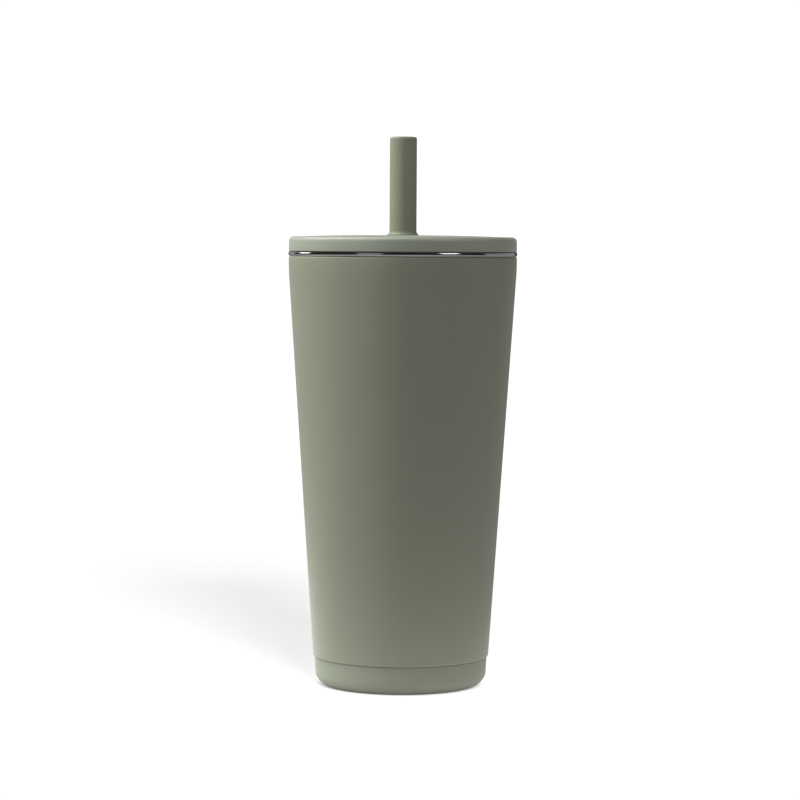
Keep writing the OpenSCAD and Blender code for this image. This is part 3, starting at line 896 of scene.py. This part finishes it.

# %% [markdown]
# ## Stage
# The cup stands on a sheet of white acrylic with light coming up through it: a ring around the
# foot, and a pool behind the cup that the coat mirrors low on both flanks. Right under the boot's
# rounded corner the glow stops, and the floor's colour as the camera sees it is painted dark
# there:
# a painted contact shadow that draws the thin contact line. Product pictures are usually cut out
# against white, and a Light Path node does that here: the camera sees an even floor, while the
# glow that lights the cup keeps its shape. From below the sheet is clear, so the boot's underside
# can be seen. It rides on the boot, so that the boot still stands on it when it is pulled off the
# cup.

# %% Stage
FLOOR_HALF = 0.8
GLOW = 0.2
FOOT_GLOW = 0.8
BACK_GLOW = 1.8
UNDER_GLOW = 0.6
CUT_OUT_WHITE = 0.81
FOOT_REACH = (0.04, 0.16)
POOL_CENTRE = (-0.08, 0.16, 0.0)
POOL_REACH = (0.04, 0.22)
DARK_RIM = 6
UNDER_FADE = (3.0, 1.5)
floor_mesh = bpy.data.meshes.new("floor")
floor_corners = FLOOR_HALF * np.array([(-1, -1, 0), (1, -1, 0), (1, 1, 0), (-1, 1, 0)], float)
floor_mesh.from_pydata(floor_corners, [], [(0, 1, 2, 3)])
floor = bpy.data.objects.new("floor", floor_mesh)
bpy.context.scene.collection.objects.link(floor)


def pale_floor(tree):
    where = place(tree)
    paper = grain(tree, where, 900, 3.0)
    away = tree.node("ShaderNodeVectorMath", {"operation": "LENGTH"}, {0: where}, output="Value")
    open_floor = step_up(tree, away, foot_ring_r * MM, (boot_r + DARK_RIM) * MM)
    near = FOOT_GLOW * (1 - step_up(tree, away, *FOOT_REACH))
    behind = {0: where, 1: POOL_CENTRE}
    pool = tree.node("ShaderNodeVectorMath", {"operation": "DISTANCE"}, behind, output="Value")
    fade = [(foot_ring_r - inside) * MM for inside in UNDER_FADE]
    under = UNDER_GLOW * (1 - step_up(tree, away, *fade))
    glow = (GLOW + near + BACK_GLOW * (1 - step_up(tree, pool, *POOL_REACH))) * open_floor + under
    # Seen by the camera the floor is white, painted dark under the boot's rounded corner: a
    # painted contact shadow.
    seen_white_with_painted_contact_shadow = CUT_OUT_WHITE * step_up(tree, away, foot_ring_r * MM, boot_r * MM)
    seen = tree.node("ShaderNodeLightPath", output="Is Camera Ray")
    from_below = tree.node("ShaderNodeNewGeometry", output="Backfacing")
    return {
        "Base Color": blend(tree, paper, (0.86, 0.86, 0.86, 1.0), (0.88, 0.88, 0.88, 1.0)),
        "Alpha": 1 - from_below,
        "Roughness": 0.8 + 0.1 * paper,
        "Normal": bump(tree, paper, 0.02 * MM, 0.3),
        "Emission Color": glow * (1 - seen) + seen_white_with_painted_contact_shadow * seen,
        "Emission Strength": 1.0,
    }


floor_mesh.materials.append(finish("pale_floor", pale_floor))
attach(floor, "boot")

# %% [markdown]
# ## Lights
# Light linking gives each lamp a list of the pieces it may light. It keeps the soft boxes off the
# floor, where each would cast a shadow of its own, and off the mirror-like lip, which would show
# every box as a white streak. Another list lets a lamp reach only the lip, only the bore or only
# the floor.

# %% Light linking
CUP_MIDDLE = (0, 0, 0.1)


def linked(name, state, *things):
    """A collection for light linking that includes or excludes the given objects."""
    group = bpy.data.collections.new(name)
    for thing in things:
        group.objects.link(thing)
    for member in group.collection_objects:
        member.light_linking.link_state = state
    print(f"{name}: {state} {[thing.name for thing in things]}")
    return group


cup_only = linked("cup_only", "EXCLUDE", floor, lip)
lip_only = linked("lip_only", "INCLUDE", lip)
bore_only = linked("bore_only", "INCLUDE", liner_wall, liner_base)
floor_only = linked("floor_only", "INCLUDE", floor)


def soft_box(name, azimuth, elevation, distance, size, strength, mirrored=True, onto=cup_only):
    """An area light that faces the cup's middle, placed by angles as seen from above and the side.

    Azimuth 0 is the camera's side and 90 the right. Strength is the radiance of the lamp's face,
    and its power is pi x area x radiance, so a lamp can change size and stay as bright.
    """
    data = bpy.data.lights.new(name, "AREA")
    data.shape = "RECTANGLE"
    data.size, data.size_y = size
    data.energy = math.pi * size[0] * size[1] * strength
    lamp = bpy.data.objects.new(name, data)
    bpy.context.scene.collection.objects.link(lamp)
    a, e = math.radians(azimuth), math.radians(elevation)
    away = Vector((math.sin(a) * math.cos(e), -math.cos(a) * math.cos(e), math.sin(e)))
    lamp.location = Vector(CUP_MIDDLE) + away * distance
    lamp.rotation_euler = away.to_track_quat("Z", "Y").to_euler()
    lamp.visible_camera = False
    lamp.visible_glossy = mirrored
    lamp.light_linking.receiver_collection = onto
    print(f"{name}: {data.energy:.1f} W")
    return lamp


# %% [markdown]
# A tall soft box at the left gives the long fall-off over the body, a second one behind it draws
# the bright flank, a card in front softens the change between them, and one overhead lights the
# lid. A weak box and a narrow strip keep the right side from going dark, and a wide wall behind
# the cup shows only as a reflection. A box that isn't mirrored lights the matte coat without a
# streak in its sheen.

# %% Soft boxes for the cup
soft_box("left_box", -88, 15, 1.1, (0.42, 1.0), 6.5, mirrored=False)
soft_box("left_back_box", -118, 45, 1.1, (0.42, 0.6), 8.4)
soft_box("left_front_card", -40, 20, 1.1, (0.7, 0.8), 1.4)
soft_box("right_box", 85, 15, 1.2, (0.6, 0.8), 2.3, mirrored=False)
soft_box("right_front_strip", 48, 42, 1.2, (0.2, 0.3), 9.0)
soft_box("overhead_box", -70, 66, 1.3, (0.8, 0.8), 7.5)
back_wall = soft_box("back_wall", 180, 8, 1.0, (2.2, 0.6), 0.45)
back_wall.visible_diffuse = False

# %% [markdown]
# The lip has cards of its own, two bright ones and three grey ones, and each is one patch on the
# bead. A box over the mouth lights the bore, which the lid shuts off until it is lifted.

# %% Cards for the lip and a box for the bore
soft_box("bore_box", 0, 85, 1.2, (1.4, 1.4), 2.0, onto=bore_only)
soft_box("lip_left", -116, 14, 1.1, (0.36, 0.32), 3.2, onto=lip_only)
soft_box("lip_right", 49, 26, 1.1, (0.34, 0.45), 3.6, onto=lip_only)
soft_box("lip_grey_left", -33, 15, 1.1, (0.5, 0.8), 0.3, onto=lip_only)
soft_box("lip_grey_right", 122, 10, 1.1, (1.4, 0.6), 0.28, onto=lip_only)
soft_box("lip_grey_back", -150, 10, 1.1, (0.5, 0.6), 0.35, onto=lip_only)

# %% [markdown]
# A wide sun lights nothing but the floor, for the single soft shadow towards the back left. It is
# equally strong everywhere, so the floor stays even, and how wide it looks sets how soft the
# shadow's edge is.

# %% Shadow lamp
SUN_STRENGTH = 1.9
SUN_WIDTH = math.radians(19)
SUN_LEAN = math.radians(66)
SUN_TURN = math.radians(15)
sun_data = bpy.data.lights.new("shadow_lamp", "SUN")
sun_data.energy = SUN_STRENGTH
sun_data.angle = SUN_WIDTH
sun = bpy.data.objects.new("shadow_lamp", sun_data)
bpy.context.scene.collection.objects.link(sun)
sun.rotation_euler = (SUN_LEAN, 0, SUN_TURN)
sun.light_linking.receiver_collection = floor_only

# %% [markdown]
# ## World
# The world is the light that comes from nowhere in particular. Seen by the camera it is the white
# behind the floor's edge, and for everything else it is nearly black, because the boxes do the
# lighting. The view transform is the plain one, which shows colours as they were chosen.

# %% World
ROOM = 0.03
SEEN_WHITE = 1.1
world = bpy.data.worlds.new("studio")
bpy.context.scene.world = world
world.use_nodes = True
world.node_tree.nodes.clear()
sky = Wire(world.node_tree)
seen = sky.node("ShaderNodeLightPath", output="Is Camera Ray")
paper_white = (1.0, 1.0, 1.0, 1.0)
room = sky.node("ShaderNodeBackground", {}, {"Color": paper_white, "Strength": ROOM})
white = sky.node("ShaderNodeBackground", {}, {"Color": paper_white, "Strength": SEEN_WHITE})
mixed = sky.node("ShaderNodeMixShader", {}, {0: seen, 1: room, 2: white})
sky.node("ShaderNodeOutputWorld", {}, {"Surface": mixed})

view = bpy.context.scene.view_settings
view.view_transform = "Standard"
view.look = "None"
view.exposure = 0.0
print(f"room light {ROOM}, white behind the floor {SEEN_WHITE}, view {view.view_transform}")
